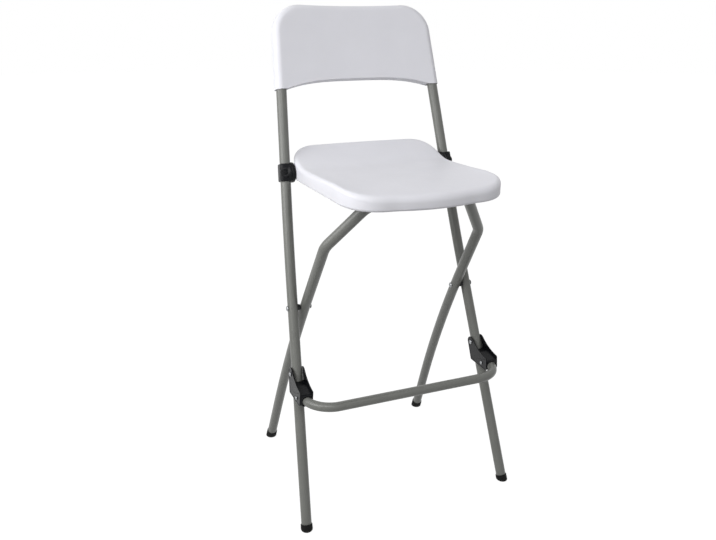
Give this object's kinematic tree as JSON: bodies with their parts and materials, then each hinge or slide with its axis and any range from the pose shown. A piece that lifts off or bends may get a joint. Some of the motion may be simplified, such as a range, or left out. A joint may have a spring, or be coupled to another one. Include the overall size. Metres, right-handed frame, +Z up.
{
  "type": "folding bar stool",
  "caption": "Folding bar stool with a grey tube frame that crosses like scissors, a white moulded seat and backrest, and a hinged footrest.",
  "frame": {"origin": "on the floor, midway between the part's extremes in X and Y", "axes": "+Z up; -Y is the side that the sitter faces; +X is the viewer's right when seen from the front"},
  "size_m": [0.502, 0.487, 1.043],
  "materials": {
    "frame_paint": "satin grey powder coat",
    "white_plastic": "satin white moulded plastic",
    "black_plastic": "satin black moulded plastic",
    "black_nylon": "satin black nylon",
    "foot_rubber": "matte black rubber",
    "fastener_steel": "zinc plated steel",
    "dark_screw": "black oxide screw"
  },
  "bodies": {
    "front_frame": {"front_frame_tube": "frame_paint", "backrest_shell": "white_plastic", "backrest_strip": "white_plastic", "backrest_screw_left": "fastener_steel", "backrest_screw_right": "fastener_steel", "seat_collar_left": "black_plastic", "seat_collar_right": "black_plastic", "collar_screw_left": "dark_screw", "collar_screw_right": "dark_screw", "seat_pivot_pin_left": "fastener_steel", "seat_pivot_pin_right": "fastener_steel", "scissor_spacer_left": "black_nylon", "scissor_spacer_right": "black_nylon", "scissor_rivet_left": "fastener_steel", "scissor_rivet_right": "fastener_steel", "front_foot_cap_left": "foot_rubber", "front_foot_cap_right": "foot_rubber", "footrest_pivot_rivet_left": "fastener_steel", "footrest_pivot_rivet_right": "fastener_steel"},
    "rear_frame": {"rear_frame_tube": "frame_paint", "rear_foot_cap_left": "foot_rubber", "rear_foot_cap_right": "foot_rubber", "slide_spool_left": "black_nylon", "slide_spool_right": "black_nylon"},
    "seat": {"seat_panel": "white_plastic", "seat_pivot_bush_left": "black_nylon", "seat_pivot_bush_right": "black_nylon", "seat_runner_left": "black_nylon", "seat_runner_right": "black_nylon", "runner_screw_left_1": "fastener_steel", "runner_screw_left_2": "fastener_steel", "runner_screw_left_3": "fastener_steel", "runner_screw_right_1": "fastener_steel", "runner_screw_right_2": "fastener_steel", "runner_screw_right_3": "fastener_steel"},
    "footrest": {"footrest_tube": "frame_paint", "footrest_saddle_left": "black_plastic", "footrest_saddle_right": "black_plastic", "footrest_tube_rivet_left": "fastener_steel", "footrest_tube_rivet_right": "fastener_steel"}
  },
  "joints": [
    {"name": "rear_frame_fold", "type": "hinge", "parent": "front_frame", "child": "rear_frame", "pos_m": [0, 0, 0.438], "axis": [-1, 0, 0], "range_deg": [0, 44]},
    {"name": "seat_fold", "type": "hinge", "parent": "front_frame", "child": "seat", "pos_m": [0, 0.08835, 0.708], "axis": [-1, 0, 0], "range_deg": [0, 95]},
    {"name": "footrest_fold", "type": "hinge", "parent": "front_frame", "child": "footrest", "pos_m": [0, -0.04606, 0.309], "axis": [-1, 0, 0], "range_deg": [0, 106]}
  ],
  "couplings": [
    {"joint": "seat_fold", "follows": "rear_frame_fold", "ratio": 2.159}
  ]
}
